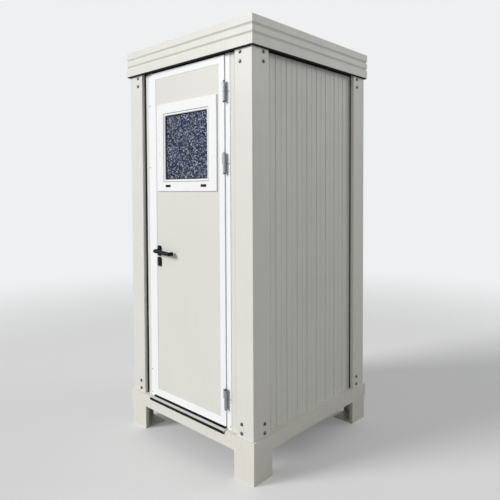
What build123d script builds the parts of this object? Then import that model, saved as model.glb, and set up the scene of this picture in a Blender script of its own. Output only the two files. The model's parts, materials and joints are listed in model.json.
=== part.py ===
from build123d import *
import os

# Portable site cabin, square on plan, with one hinged door.
# X runs to the right along the front, Y from the front to the back, Z up.
# The origin is on the ground at the centre of the plan. Millimetres.

# Plan and heights
cabin_width = 1120.0
base_top = 237.0
head_reveal = 12.0
fascia_height = 154.0

# Legs and base frame
leg_width = 150.0
leg_sheet = 5.0
leg_return = 24.0
foot_plate = 8.0
base_overhang = 11.0
leg_inset = 6.0
beam_height = 83.0
beam_flange = 100.0
beam_sheet = 4.0
joist_width = 50.0
joist_sheet = 3.0
joist_count = 3
joist_pitch = 300.0

# Corner posts
post_width = 132.0
post_sheet = 3.0
post_return = 21.0
post_bend = 5.0
bracket_width = 104.0
bracket_height = 100.0
bracket_sheet = 5.0
bracket_bevel = 6.0

# Walls, floor and roof
wall_recess = 30.0
wall_thickness = 45.0
rib_pitch = 48.5
rib_width = 12.0
rib_depth = 2.5
fine_rib_width = 8.0
fine_rib_depth = 1.2
rib_margin = 12.0
gasket_width = 4.0
gasket_top = 25.0
front_gap = 23.0
strip_step = 10.5
floor_thickness = 22.0
ceiling_thickness = 60.0
roof_sheet_thickness = 2.0
roof_fall = 15.0
roof_below_edge = 25.0
roof_margin = 50.0
roof_crown = 25.0

# Roof fascia
fascia_overhang = 15.0
fascia_sheet = 3.0
fascia_top_flange = 50.0
groove_width = 20.0
groove_depth = 6.0
groove_heights = (57.5, 103.5)

# Door frame
post_to_jamb = 53.0
jamb_width = 34.0
frame_recess = 16.5
frame_stop = 16.0
frame_wall = 3.0
leaf_gap = 5.0
sill_sheet = 4.0
sill_nose_reach = 9.0
sill_nose_drop = 6.0
sill_horn = 7.0

# Door leaf
leaf_height = 2084.0
leaf_lift = 13.0
leaf_thickness = 40.0
leaf_recess = 10.5
rim_width = 43.0
rim_lip = 2.5
rim_bevel = 2.0
panel_bite = 10.0

# Window in the leaf
window_margin = 15.5
window_height = 545.0
window_drop = 209.0
window_flange = 15.0
window_proud = 8.0
window_bevel = 2.5
window_stile = 81.0
window_rail = 74.0
bead_width = 15.0
bead_drop = 1.5
bead_bevel = 3.0
glass_depth = 10.0
glass_thickness = 24.0

# Hinges
hinge_drop = 203.0
hinge_spacing = 396.0
hinge_rise = 160.0
hinge_height = 108.0
hinge_axis_out = 9.0
knuckle_radius = 8.5
knuckle_stand_off = 1.0
pin_radius = 4.0
pin_clearance = 0.1
hinge_neck = 10.0
hinge_flap = 25.0
hinge_flap_sheet = 4.0
hinge_split = 0.5

# Lever handle and lock
handle_inset = 68.0
handle_height = 1201.0
key_drop = 70.0
rose_width = 34.0
rose_height = 66.0
key_rose_height = 60.0
rose_corner = 13.0
rose_thickness = 8.0
lever_radius = 12.0
lever_reach = 52.0
lever_length = 155.0
lever_droop = 9.0
lever_return = 38.0
spindle_size = 8.0
lever_clearance = 0.1
lock_bore_radius = 12.0
cylinder_radius = 8.5
cylinder_web = 10.0
cylinder_drop = 20.0
cylinder_proud = 3.0

# Places worked out from the sizes above
half = cabin_width / 2
leaf_bottom = base_top + leaf_lift
leaf_top = leaf_bottom + leaf_height
fascia_bottom = leaf_top + head_reveal
total_height = fascia_bottom + fascia_height
post_inner = half - post_width
base_half = half + base_overhang
beam_bottom = base_top - beam_height
beam_inner = base_half - beam_flange
leg_half = base_half - leg_inset
fascia_half = half + fascia_overhang
wall_outer = half - wall_recess
wall_inner = wall_outer - wall_thickness
wall_top = fascia_bottom + wall_recess
roof_seat = total_height - roof_below_edge - roof_sheet_thickness
leaf_half_width = post_inner - post_to_jamb - jamb_width - leaf_gap
handle_x = handle_inset - leaf_half_width
jamb_inner = leaf_half_width + leaf_gap
frame_half_width = jamb_inner + jamb_width
stop_half_width = jamb_inner - frame_stop
head_bottom = leaf_top + leaf_gap
strip_half_width = post_inner - front_gap
strip_face = wall_outer + strip_step
frame_face = half - frame_recess
leaf_face = half - leaf_recess
leaf_back = leaf_face - leaf_thickness
stop_face = leaf_back - leaf_gap
floor_top = base_top + floor_thickness
panel_face = leaf_face - rim_lip
panel_back = leaf_back + rim_lip
inner_half_width = leaf_half_width - rim_width
window_width = 2 * (inner_half_width - window_margin)
window_centre = leaf_top - window_drop - window_height / 2
glass_width = window_width - 2 * window_stile
glass_height = window_height - 2 * window_rail
hinge_centres = {
    "top": leaf_top - hinge_drop,
    "middle": leaf_top - hinge_drop - hinge_spacing,
    "bottom": leaf_bottom + hinge_rise,
}
glass_front = panel_face + window_proud - glass_depth
sides = {"front": 0, "right": 90, "back": 180, "left": 270}
corners = {"front_right": 0, "back_right": 90, "back_left": 180, "front_left": 270}


def level_plane(turn, height=0.0):
    """Level plane of one side: x runs along the side and y points into the cabin."""
    along = Vector(1, 0, 0).rotate(Axis.Z, turn)
    return Plane(origin=(0, 0, height), x_dir=along, z_dir=(0, 0, 1))


def cross_plane(turn):
    """Upright plane across the middle of a side: x points into the cabin and y up."""
    along = Vector(1, 0, 0).rotate(Axis.Z, turn)
    inward = Vector(0, 1, 0).rotate(Axis.Z, turn)
    return Plane(origin=(0, 0, 0), x_dir=inward, z_dir=along)


def facing_plane(turn, distance):
    """Upright plane of one side, that far from the centre, with its normal outwards."""
    along = Vector(1, 0, 0).rotate(Axis.Z, turn)
    outward = Vector(0, -1, 0).rotate(Axis.Z, turn)
    return Plane(origin=outward * distance, x_dir=along, z_dir=outward)


def keep(part, label):
    """Name a finished piece and write it to its own file."""
    part.label = label
    export_step(part, f"parts/{label}.step")


def mitred_rail(turn, reach, points, sheet, depth):
    """Folded rail along one side, with its ends mitred into its neighbours."""
    with BuildPart() as rail:
        with BuildSketch(cross_plane(turn)):
            with BuildLine():
                Polyline(*points)
                offset(amount=sheet, side=Side.RIGHT, kind=Kind.INTERSECTION)
            make_face()
        extrude(amount=reach, both=True)
        with BuildSketch(level_plane(turn)):
            inner = reach - depth
            Polygon((-reach, -reach), (reach, -reach), (inner, -inner), (-inner, -inner), align=None)
        extrude(amount=total_height, mode=Mode.INTERSECT)
    return rail.part


os.makedirs("parts", exist_ok=True)

# Legs: folded angle with turned-in edges, a foot plate and a top plate
for corner, turn in corners.items():
    with BuildPart() as leg:
        with BuildSketch(level_plane(turn)):
            edge = leg_half - leg_width
            lip = leg_half - leg_return
            with BuildLine():
                Polyline(
                    (edge, -lip),
                    (edge, -leg_half),
                    (leg_half, -leg_half),
                    (leg_half, -edge),
                    (lip, -edge),
                )
                offset(amount=leg_sheet, side=Side.LEFT, kind=Kind.INTERSECTION)
            make_face()
        extrude(amount=beam_bottom)
        for plate_height in (0.0, beam_bottom - foot_plate):
            with BuildSketch(level_plane(turn, plate_height)):
                middle = leg_half - leg_width / 2
                with Locations((middle, -middle)):
                    Rectangle(leg_width, leg_width)
            extrude(amount=foot_plate)
    keep(leg.part, f"leg_{corner}")

# Base frame: four mitred channels, open towards the inside
beam_section = [
    (-beam_inner, beam_bottom),
    (-base_half, beam_bottom),
    (-base_half, base_top),
    (-beam_inner, base_top),
]
for side, turn in sides.items():
    beam = mitred_rail(turn, base_half, beam_section, beam_sheet, beam_flange)
    keep(beam, f"base_beam_{side}")

# Floor: joists between the flanges of the base frame, and a deck on top
with BuildPart() as floor_joists:
    with BuildSketch(Plane.XZ.offset(-beam_inner)):
        with Locations((0, base_top - beam_height / 2)):
            with GridLocations(joist_pitch, 0, joist_count, 1):
                Rectangle(joist_width, beam_height)
                Rectangle(joist_width - 2 * joist_sheet, beam_height - 2 * joist_sheet, mode=Mode.SUBTRACT)
    extrude(amount=2 * beam_inner)
keep(floor_joists.part, "floor_joists")

with BuildPart() as floor_panel:
    with BuildSketch(Plane.XY.offset(base_top)):
        Rectangle(2 * wall_inner, 2 * wall_inner)
    extrude(amount=floor_thickness)
keep(floor_panel.part, "floor_panel")

# Corner posts: folded angle with turned-in edges
for corner, turn in corners.items():
    with BuildPart() as post:
        with BuildSketch(level_plane(turn, base_top)):
            tip = half - post_return
            with BuildLine():
                FilletPolyline(
                    (post_inner, -tip),
                    (post_inner, -half),
                    (half, -half),
                    (half, -post_inner),
                    (tip, -post_inner),
                    radius=post_bend,
                )
                offset(amount=post_sheet, side=Side.LEFT)
            make_face()
        extrude(amount=roof_seat - base_top)
    keep(post.part, f"corner_post_{corner}")

# Brackets that the posts are bolted to, standing on the base and hanging from the roof
with BuildPart() as corner_brackets:
    for turn in corners.values():
        spans = ((base_top, base_top + bracket_height), (fascia_bottom - bracket_height, roof_seat))
        for foot, top in spans:
            with BuildSketch(level_plane(turn, foot)):
                back = half - post_sheet
                end = back - bracket_width
                with BuildLine():
                    Polyline(
                        (end, -back),
                        (back - bracket_bevel, -back),
                        (back, -back + bracket_bevel),
                        (back, -end),
                    )
                    offset(amount=bracket_sheet, side=Side.LEFT, kind=Kind.INTERSECTION)
                make_face()
            extrude(amount=top - foot)
keep(corner_brackets.part, "corner_brackets")


def ribbed_wall(turn, left, right):
    """Insulated panel of one side, with upright grooves outside, deep and shallow in turn."""
    with BuildPart() as wall:
        with BuildSketch(level_plane(turn, base_top)):
            with Locations(((left + right) / 2, -wall_outer + wall_thickness / 2)):
                Rectangle(right - left, wall_thickness)
            rib_reach = round(post_inner / rib_pitch)
            for rib in range(-rib_reach, rib_reach + 1):
                x = rib * rib_pitch
                width, depth = (rib_width, rib_depth) if rib % 2 else (fine_rib_width, fine_rib_depth)
                if left + rib_margin < x < right - rib_margin:
                    Polygon(
                        (x - width / 2, -wall_outer),
                        (x, -wall_outer + depth),
                        (x + width / 2, -wall_outer),
                        align=None,
                        mode=Mode.SUBTRACT,
                    )
        extrude(amount=wall_top - base_top)
    return wall.part


def front_strip(sign):
    """Insulated strip between a jamb and a post, stepped out where it shows beside the jamb."""
    with BuildPart() as strip:
        with BuildSketch(Plane.XY.offset(base_top)):
            with Locations((sign * (frame_half_width + wall_inner) / 2, -(wall_outer + wall_inner) / 2)):
                Rectangle(wall_inner - frame_half_width, wall_thickness)
        extrude(amount=wall_top - base_top)
        with BuildSketch(Plane.XY.offset(base_top)):
            with Locations((sign * (frame_half_width + strip_half_width) / 2, -(strip_face + wall_outer) / 2)):
                Rectangle(strip_half_width - frame_half_width, strip_step)
        extrude(amount=head_bottom - base_top)
    return strip.part


# Walls: the side walls run through, the back and front fit between them
keep(ribbed_wall(sides["right"], -wall_outer, wall_outer), "right_wall")
keep(ribbed_wall(sides["left"], -wall_outer, wall_outer), "left_wall")
keep(ribbed_wall(sides["back"], -wall_inner, wall_inner), "back_wall")
keep(front_strip(-1), "front_wall_left")
keep(front_strip(1), "front_wall_right")

# Rubber gaskets between the posts' turned-in edges and the walls, and along the top
with BuildPart() as wall_gaskets:
    for side_name, turn in sides.items():
        with BuildSketch(facing_plane(turn, wall_outer)):
            inner = strip_half_width if side_name == "front" else post_inner
            outer = post_inner + gasket_width
            with Locations((0, base_top)):
                Rectangle(2 * outer, head_bottom + gasket_top - base_top, align=(Align.CENTER, Align.MIN))
                Rectangle(
                    2 * inner,
                    head_bottom - base_top,
                    align=(Align.CENTER, Align.MIN),
                    mode=Mode.SUBTRACT,
                )
        extrude(amount=wall_recess - post_return)
keep(wall_gaskets.part, "wall_gaskets")

# Door frame
for side_name, sign in (("left", -1), ("right", 1)):
    with BuildPart() as jamb:
        with BuildSketch(Plane.XY.offset(base_top)):
            Polygon(
                (sign * jamb_inner, -frame_face),
                (sign * frame_half_width, -frame_face),
                (sign * frame_half_width, -wall_inner),
                (sign * stop_half_width, -wall_inner),
                (sign * stop_half_width, -stop_face),
                (sign * jamb_inner, -stop_face),
                align=None,
            )
            with Locations((sign * (jamb_inner + frame_half_width) / 2, -(frame_face + wall_inner) / 2)):
                Rectangle(
                    frame_half_width - jamb_inner - 2 * frame_wall,
                    frame_face - wall_inner - 2 * frame_wall,
                    mode=Mode.SUBTRACT,
                )
        extrude(amount=head_bottom - base_top)
    keep(jamb.part, f"door_jamb_{side_name}")

with BuildPart() as door_head:
    with BuildSketch(Plane.XZ.offset(wall_outer)):
        with Locations((0, head_bottom)):
            Rectangle(2 * frame_half_width, wall_top - head_bottom, align=(Align.CENTER, Align.MIN))
    extrude(amount=-wall_thickness)
    with BuildSketch(Plane.XZ.offset(stop_face)):
        with Locations((0, head_bottom)):
            Rectangle(2 * stop_half_width, frame_stop, align=(Align.CENTER, Align.MAX))
    extrude(amount=wall_inner - stop_face)
keep(door_head.part, "door_head")

# Sill: a folded plate over the base frame, with a nose in front and a stop behind the leaf
with BuildPart() as door_sill:
    with BuildSketch(Plane.YZ):
        nose = base_half + sill_nose_reach
        Polygon(
            (-nose, base_top - sill_nose_drop),
            (-nose + sill_sheet, base_top - sill_nose_drop),
            (-nose + sill_sheet, base_top),
            (-wall_inner, base_top),
            (-wall_inner, floor_top),
            (-stop_face, floor_top),
            (-stop_face, base_top + sill_sheet),
            (-nose, base_top + sill_sheet),
            align=None,
        )
    extrude(amount=jamb_inner + sill_horn, both=True)
    with BuildSketch(Plane.XY.offset(base_top)):
        for sign in (-1, 1):
            with Locations((sign * (jamb_inner + sill_horn / 2), -(frame_face + wall_inner) / 2)):
                Rectangle(sill_horn, frame_face - wall_inner)
            with Locations((sign * (stop_half_width + jamb_inner) / 2, -(stop_face + wall_inner) / 2)):
                Rectangle(frame_stop, stop_face - wall_inner)
    extrude(amount=floor_thickness, mode=Mode.SUBTRACT)
keep(door_sill.part, "door_sill")

# Door leaf: a rim with a groove, and an insulated panel held in it
leaf_centre = (leaf_bottom + leaf_top) / 2
inner_height = leaf_height - 2 * rim_width
with BuildPart() as leaf_rim:
    with BuildSketch(Plane.XZ.offset(leaf_face)):
        with Locations((0, leaf_centre)):
            Rectangle(2 * leaf_half_width, leaf_height)
            Rectangle(2 * inner_half_width, inner_height, mode=Mode.SUBTRACT)
    extrude(amount=-leaf_thickness)
    with BuildSketch(Plane.XZ.offset(panel_face)):
        with Locations((0, leaf_centre)):
            Rectangle(2 * (inner_half_width + panel_bite), inner_height + 2 * panel_bite)
    extrude(amount=panel_back - panel_face, mode=Mode.SUBTRACT)
    front, back = leaf_rim.faces().sort_by(Axis.Y)[0], leaf_rim.faces().sort_by(Axis.Y)[-1]
    chamfer(front.inner_wires()[0].edges() + back.inner_wires()[0].edges(), length=rim_bevel)
keep(leaf_rim.part, "leaf_rim")

with BuildPart() as leaf_panel:
    with BuildSketch(Plane.XZ.offset(panel_face)):
        with Locations((0, leaf_centre)):
            Rectangle(2 * (inner_half_width + panel_bite), inner_height + 2 * panel_bite)
        with Locations((0, window_centre)):
            Rectangle(
                window_width - 2 * window_flange,
                window_height - 2 * window_flange,
                mode=Mode.SUBTRACT,
            )
        with Locations((handle_x, handle_height)):
            Circle(lock_bore_radius, mode=Mode.SUBTRACT)
        with Locations((handle_x, handle_height - key_drop)):
            Circle(cylinder_radius, mode=Mode.SUBTRACT)
            with Locations((0, -cylinder_drop / 2)):
                SlotCenterToCenter(cylinder_drop, cylinder_web, rotation=90, mode=Mode.SUBTRACT)
    extrude(amount=panel_back - panel_face)
keep(leaf_panel.part, "leaf_panel")

# Window: a frame clamped round the cut-out, a glazing bead and the pane
body_width = window_width - 2 * window_flange
body_height = window_height - 2 * window_flange
glass_back = glass_front - glass_thickness
with BuildPart() as window_frame:
    with BuildSketch(Plane.XZ.offset(panel_face + window_proud)):
        with Locations((0, window_centre)):
            Rectangle(window_width, window_height)
    extrude(amount=-window_proud)
    with BuildSketch(Plane.XZ.offset(panel_face)):
        with Locations((0, window_centre)):
            Rectangle(body_width, body_height)
    extrude(amount=panel_back - panel_face)
    with BuildSketch(Plane.XZ.offset(panel_back)):
        with Locations((0, window_centre)):
            Rectangle(window_width, window_height)
    extrude(amount=-window_proud)
    with BuildSketch(Plane.XZ.offset(panel_face + window_proud)):
        with Locations((0, window_centre)):
            Rectangle(glass_width + 2 * bead_width, glass_height + 2 * bead_width)
    extrude(amount=glass_back - panel_face - window_proud, mode=Mode.SUBTRACT)
    with BuildSketch(Plane.XZ.offset(glass_back)):
        with Locations((0, window_centre)):
            Rectangle(glass_width, glass_height)
    extrude(amount=panel_back - window_proud - glass_back, mode=Mode.SUBTRACT)
    front, back = window_frame.faces().sort_by(Axis.Y)[0], window_frame.faces().sort_by(Axis.Y)[-1]
    chamfer(front.outer_wire().edges() + back.outer_wire().edges(), length=window_bevel)
keep(window_frame.part, "window_frame")

with BuildPart() as window_bead:
    with BuildSketch(Plane.XZ.offset(glass_front)):
        with Locations((0, window_centre)):
            Rectangle(glass_width + 2 * bead_width, glass_height + 2 * bead_width)
            Rectangle(glass_width, glass_height, mode=Mode.SUBTRACT)
    extrude(amount=glass_depth - bead_drop)
    chamfer(
        window_bead.faces().sort_by(Axis.Y)[0].inner_wires()[0].edges(),
        length=bead_bevel,
    )
keep(window_bead.part, "window_bead")

with BuildPart() as window_glass:
    with BuildSketch(Plane.XZ.offset(glass_front)):
        with Locations((0, window_centre)):
            Rectangle(glass_width + 2 * bead_width, glass_height + 2 * bead_width)
    extrude(amount=-glass_thickness)
keep(window_glass.part, "window_glass")

# Hinges: the lower half with the pin sits on the jamb, the upper half on the leaf
hinge_x = leaf_half_width + hinge_axis_out
hinge_y = -(leaf_face + knuckle_stand_off + knuckle_radius)
for place, centre in hinge_centres.items():
    with BuildPart() as hinge_frame_half:
        low = centre - hinge_height / 2
        half_height = hinge_height / 2 - hinge_split / 2
        with BuildSketch(Plane.XY.offset(low)):
            with Locations((hinge_x, hinge_y)):
                Circle(knuckle_radius)
            with Locations((jamb_inner, -frame_face)):
                Rectangle(hinge_neck, -hinge_y - frame_face, align=(Align.MIN, Align.MAX))
        extrude(amount=half_height)
        with BuildSketch(Plane.XY.offset(low + half_height)):
            with Locations((hinge_x, hinge_y)):
                Circle(pin_radius)
        extrude(amount=half_height)
    keep(hinge_frame_half.part, f"hinge_{place}_frame_half")

    with BuildPart() as hinge_leaf_half:
        with BuildSketch(Plane.XY.offset(centre + hinge_split / 2)):
            with Locations((hinge_x, hinge_y)):
                Circle(knuckle_radius)
            with Locations((hinge_x, -leaf_face)):
                Rectangle(hinge_flap, hinge_flap_sheet, align=(Align.MAX, Align.MAX))
            with Locations((hinge_x, hinge_y)):
                Circle(pin_radius + pin_clearance, mode=Mode.SUBTRACT)
        extrude(amount=half_height)
    keep(hinge_leaf_half.part, f"hinge_{place}_leaf_half")


# Cover plates of the handle and of the lock cylinder
key_height = handle_height - key_drop
for name, surface, outward in (("outer_roses", panel_face, 1), ("inner_roses", panel_back, -1)):
    with BuildPart() as roses:
        with BuildSketch(Plane.XZ.offset(surface)):
            with Locations((handle_x, handle_height)):
                RectangleRounded(rose_width, rose_height, rose_corner)
            with Locations((handle_x, key_height)):
                RectangleRounded(rose_width, key_rose_height, rose_corner)
        extrude(amount=outward * rose_thickness)
        with BuildSketch(Plane.XZ.offset(surface)):
            with Locations((handle_x, handle_height)):
                Circle(lever_radius + lever_clearance)
            with Locations((handle_x, key_height)):
                Circle(cylinder_radius)
                with Locations((0, -cylinder_drop / 2)):
                    SlotCenterToCenter(cylinder_drop, cylinder_web, rotation=90)
        extrude(amount=outward * rose_thickness, mode=Mode.SUBTRACT)
    keep(roses.part, name)

with BuildPart() as lock_cylinder:
    with BuildSketch(Plane.XZ.offset(panel_face + rose_thickness + cylinder_proud)):
        with Locations((handle_x, key_height)):
            Circle(cylinder_radius)
            with Locations((0, -cylinder_drop / 2)):
                SlotCenterToCenter(cylinder_drop, cylinder_web, rotation=90)
    extrude(amount=panel_back - panel_face - 2 * (rose_thickness + cylinder_proud))
keep(lock_cylinder.part, "lock_cylinder")

# Lever: on each face a round bar that goes out, along and back, with the square spindle between
with BuildPart() as lever:
    for surface, outward in ((panel_face, 1), (panel_back, -1)):
        bar_y = -(surface + outward * (lever_reach - lever_radius))
        tip_x = handle_x + lever_length - lever_radius
        tip_z = handle_height - lever_droop
        tip_y = bar_y + outward * (lever_return - lever_radius)
        with BuildLine() as route:
            Polyline(
                (handle_x, -surface, handle_height),
                (handle_x, bar_y, handle_height),
                (tip_x, bar_y, tip_z),
                (tip_x, tip_y, tip_z),
            )
        for run in route.edges():
            with BuildSketch(Plane(origin=run @ 0, z_dir=run % 0)):
                Circle(lever_radius)
            extrude(amount=run.length)
        with Locations((handle_x, bar_y, handle_height), (tip_x, bar_y, tip_z)):
            Sphere(lever_radius)
    with BuildSketch(Plane.XZ.offset(panel_face)):
        with Locations((handle_x, handle_height)):
            Rectangle(spindle_size, spindle_size)
    extrude(amount=panel_back - panel_face)
keep(lever.part, "lever")

# Roof: four mitred fascias with two grooves, the deck and the ceiling
fascia_section = [(-half, fascia_bottom), (-fascia_half, fascia_bottom)]
for groove in groove_heights:
    groove_z = fascia_bottom + groove
    fascia_section += [
        (-fascia_half, groove_z - groove_width / 2),
        (-fascia_half + groove_depth, groove_z),
        (-fascia_half, groove_z + groove_width / 2),
    ]
fascia_section += [
    (-fascia_half, total_height),
    (-fascia_half + fascia_top_flange, total_height),
    (-fascia_half + fascia_top_flange, total_height - roof_below_edge),
]
for side, turn in sides.items():
    fascia = mitred_rail(turn, fascia_half, fascia_section, fascia_sheet, fascia_top_flange + fascia_sheet)
    keep(fascia, f"roof_fascia_{side}")

# The deck: a flat edge under the fascias' flanges, and a low hipped roof inside them
deck_reach = fascia_half - fascia_sheet
deck_half = fascia_half - fascia_top_flange - roof_margin
with BuildPart() as roof_deck:
    for plane, mode in ((Plane.XZ, Mode.ADD), (Plane.YZ, Mode.INTERSECT)):
        with BuildSketch(plane):
            with BuildLine():
                Polyline(
                    (0, roof_seat),
                    (deck_reach, roof_seat),
                    (deck_reach, roof_seat + roof_sheet_thickness),
                    (deck_half, roof_seat + roof_sheet_thickness),
                    (roof_crown, roof_seat + roof_sheet_thickness + roof_fall),
                    (0, roof_seat + roof_sheet_thickness + roof_fall),
                )
                mirror(about=Plane.YZ)
            make_face()
        extrude(amount=deck_reach, both=True, mode=mode)
keep(roof_deck.part, "roof_deck")

with BuildPart() as ceiling_panel:
    with BuildSketch(Plane.XY.offset(wall_top)):
        Rectangle(2 * wall_outer, 2 * wall_outer)
    extrude(amount=ceiling_thickness)
keep(ceiling_panel.part, "ceiling_panel")
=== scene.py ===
"""Looks of a portable site cabin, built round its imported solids.

Metres. X runs to the right along the front, Y from the front to the back, and Z up from the ground.
"""

import json
import logging
import math
from collections.abc import Callable, Iterable, Iterator
from contextlib import contextmanager
from dataclasses import dataclass, field
from enum import Enum

import bmesh
import bpy
from mathutils import Matrix, Vector


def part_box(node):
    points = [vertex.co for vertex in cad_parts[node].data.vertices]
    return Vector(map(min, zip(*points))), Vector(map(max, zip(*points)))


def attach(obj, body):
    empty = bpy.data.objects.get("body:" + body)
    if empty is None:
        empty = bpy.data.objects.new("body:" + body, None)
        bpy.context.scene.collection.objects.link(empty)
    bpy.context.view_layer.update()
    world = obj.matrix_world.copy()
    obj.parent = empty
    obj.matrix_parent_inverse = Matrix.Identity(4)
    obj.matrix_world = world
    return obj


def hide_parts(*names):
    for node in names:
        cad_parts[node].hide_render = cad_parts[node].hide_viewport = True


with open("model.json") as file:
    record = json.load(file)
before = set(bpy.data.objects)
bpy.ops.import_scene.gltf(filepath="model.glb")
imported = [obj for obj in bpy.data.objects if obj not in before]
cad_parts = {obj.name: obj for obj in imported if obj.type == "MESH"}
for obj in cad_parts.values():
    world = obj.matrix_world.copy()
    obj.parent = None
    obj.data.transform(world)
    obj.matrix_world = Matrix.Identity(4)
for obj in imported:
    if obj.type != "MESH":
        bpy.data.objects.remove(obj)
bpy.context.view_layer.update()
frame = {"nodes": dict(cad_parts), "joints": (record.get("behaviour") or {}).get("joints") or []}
LOG = logging.getLogger("cabin")
MM = 0.001
HAIR = 0.01 * MM
SAME = 1e-6
UP = Vector((0.0, 0.0, 1.0))
WALL_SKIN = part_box("right_wall")[1].x


class Body(Enum):
    """The moving bodies that pieces ride on."""

    CABIN = "cabin"
    DOOR = "door"


class Facing(Enum):
    """The four sides of the cabin, each with the way that it faces."""

    FRONT = (0.0, -1.0, 0.0)
    RIGHT = (1.0, 0.0, 0.0)
    BACK = (0.0, 1.0, 0.0)
    LEFT = (-1.0, 0.0, 0.0)

    def outward(self) -> Vector:
        """Return the side's outward direction."""
        return Vector(self.value)


class Grain(Enum):
    """The way in which a metal's rolling or brushing lines run, as stretches of the pattern."""

    LEVEL = (0.02, 1.0, 1.0)
    UPRIGHT = (1.0, 1.0, 0.02)
    NONE = (1.0, 1.0, 1.0)


class Course(Enum):
    """The way in which a wall runs, as the number of its axis."""

    ALONG_X = 0
    ALONG_Y = 1


def linear(code: str) -> tuple[float, float, float, float]:
    """Turn an sRGB hex colour into linear RGBA.

    Args:
        code: Six hex digits after a hash.

    Returns:
        Linear red, green and blue, and an alpha of 1.
    """
    parts = [int(code[i:i + 2], 16) / 255 for i in (1, 3, 5)]
    return (*[c / 12.92 if c <= 0.04045 else ((c + 0.055) / 1.055) ** 2.4 for c in parts], 1.0)


def add_node(
    tree: bpy.types.NodeTree, kind: str, inputs: dict[str | int, object] | None = None, **settings: object,
) -> bpy.types.Node:
    """Add one node to a tree with its settings, values and links.

    Args:
        tree: The material's or world's node tree.
        kind: The node's type name, without the word ShaderNode that each begins with.
        inputs: For each input's name or number a value, another node's output socket, or a node that stands
            for its first output.
        **settings: The node's own properties.

    Returns:
        The new node.
    """
    node = tree.nodes.new(f"ShaderNode{kind}")
    for key, value in settings.items():
        setattr(node, key, value)
    for key, value in (inputs or {}).items():
        if isinstance(value, bpy.types.Node):
            value = value.outputs[0]
        if isinstance(value, bpy.types.NodeSocket):
            tree.links.new(value, node.inputs[key])
        else:
            node.inputs[key].default_value = value
    return node


@dataclass(frozen=True)
class Finish:
    """A surface finish, turned into one material when it is first used."""

    name: str
    slot: str
    colour: str

    def wire(self, tree: bpy.types.NodeTree) -> bpy.types.Node:
        """Add the finish's nodes and return its shader."""
        raise NotImplementedError

    def patched(
        self, tree: bpy.types.NodeTree, place: bpy.types.NodeSocket, other: str, share: float,
        noise: dict[str, float], span: tuple[float, float],
    ) -> tuple[bpy.types.NodeSocket, bpy.types.NodeSocket]:
        """Add nodes that mix another colour into the finish's own one in patches.

        Args:
            tree: The material's node tree.
            place: The place on the piece.
            other: The patches' colour.
            share: How much of it shows at most.
            noise: The settings of the noise that draws the patches.
            span: Where on the noise the patches begin, and where they are full.

        Returns:
            The noise and the mixed colour.
        """
        patch = add_node(tree, "TexNoise", {"Vector": place, **noise})
        part = add_node(tree, "MapRange", {
            "Value": patch, "From Min": span[0], "From Max": span[1], "To Max": share})
        colour = add_node(tree, "Mix", {0: part, 6: linear(self.colour), 7: linear(other)}, data_type="RGBA")
        return patch.outputs["Fac"], colour.outputs[2]

    def shaded(
        self, tree: bpy.types.NodeTree, height: bpy.types.NodeSocket, relief: float, depth_mm: float,
        inputs: dict[str, object],
    ) -> bpy.types.Node:
        """Add the shader, with a fine relief in its surface.

        Args:
            tree: The material's node tree.
            height: The relief's height.
            relief: Its strength.
            depth_mm: Its full depth.
            inputs: The shader's own values and links.

        Returns:
            The shader.
        """
        bump = add_node(tree, "Bump", {"Strength": relief, "Distance": depth_mm * MM, "Height": height})
        return add_node(tree, "BsdfPrincipled", {**inputs, "Normal": bump})

    def material(self) -> bpy.types.Material:
        """Return the finish's material, made on the first call."""
        made = bpy.data.materials.get(self.name)
        if made is None:
            made = bpy.data.materials.new(self.name)
            made.use_nodes = True
            made.node_tree.nodes.clear()
            shader = self.wire(made.node_tree)
            add_node(made.node_tree, "OutputMaterial", {"Surface": shader})
        return made


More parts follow.
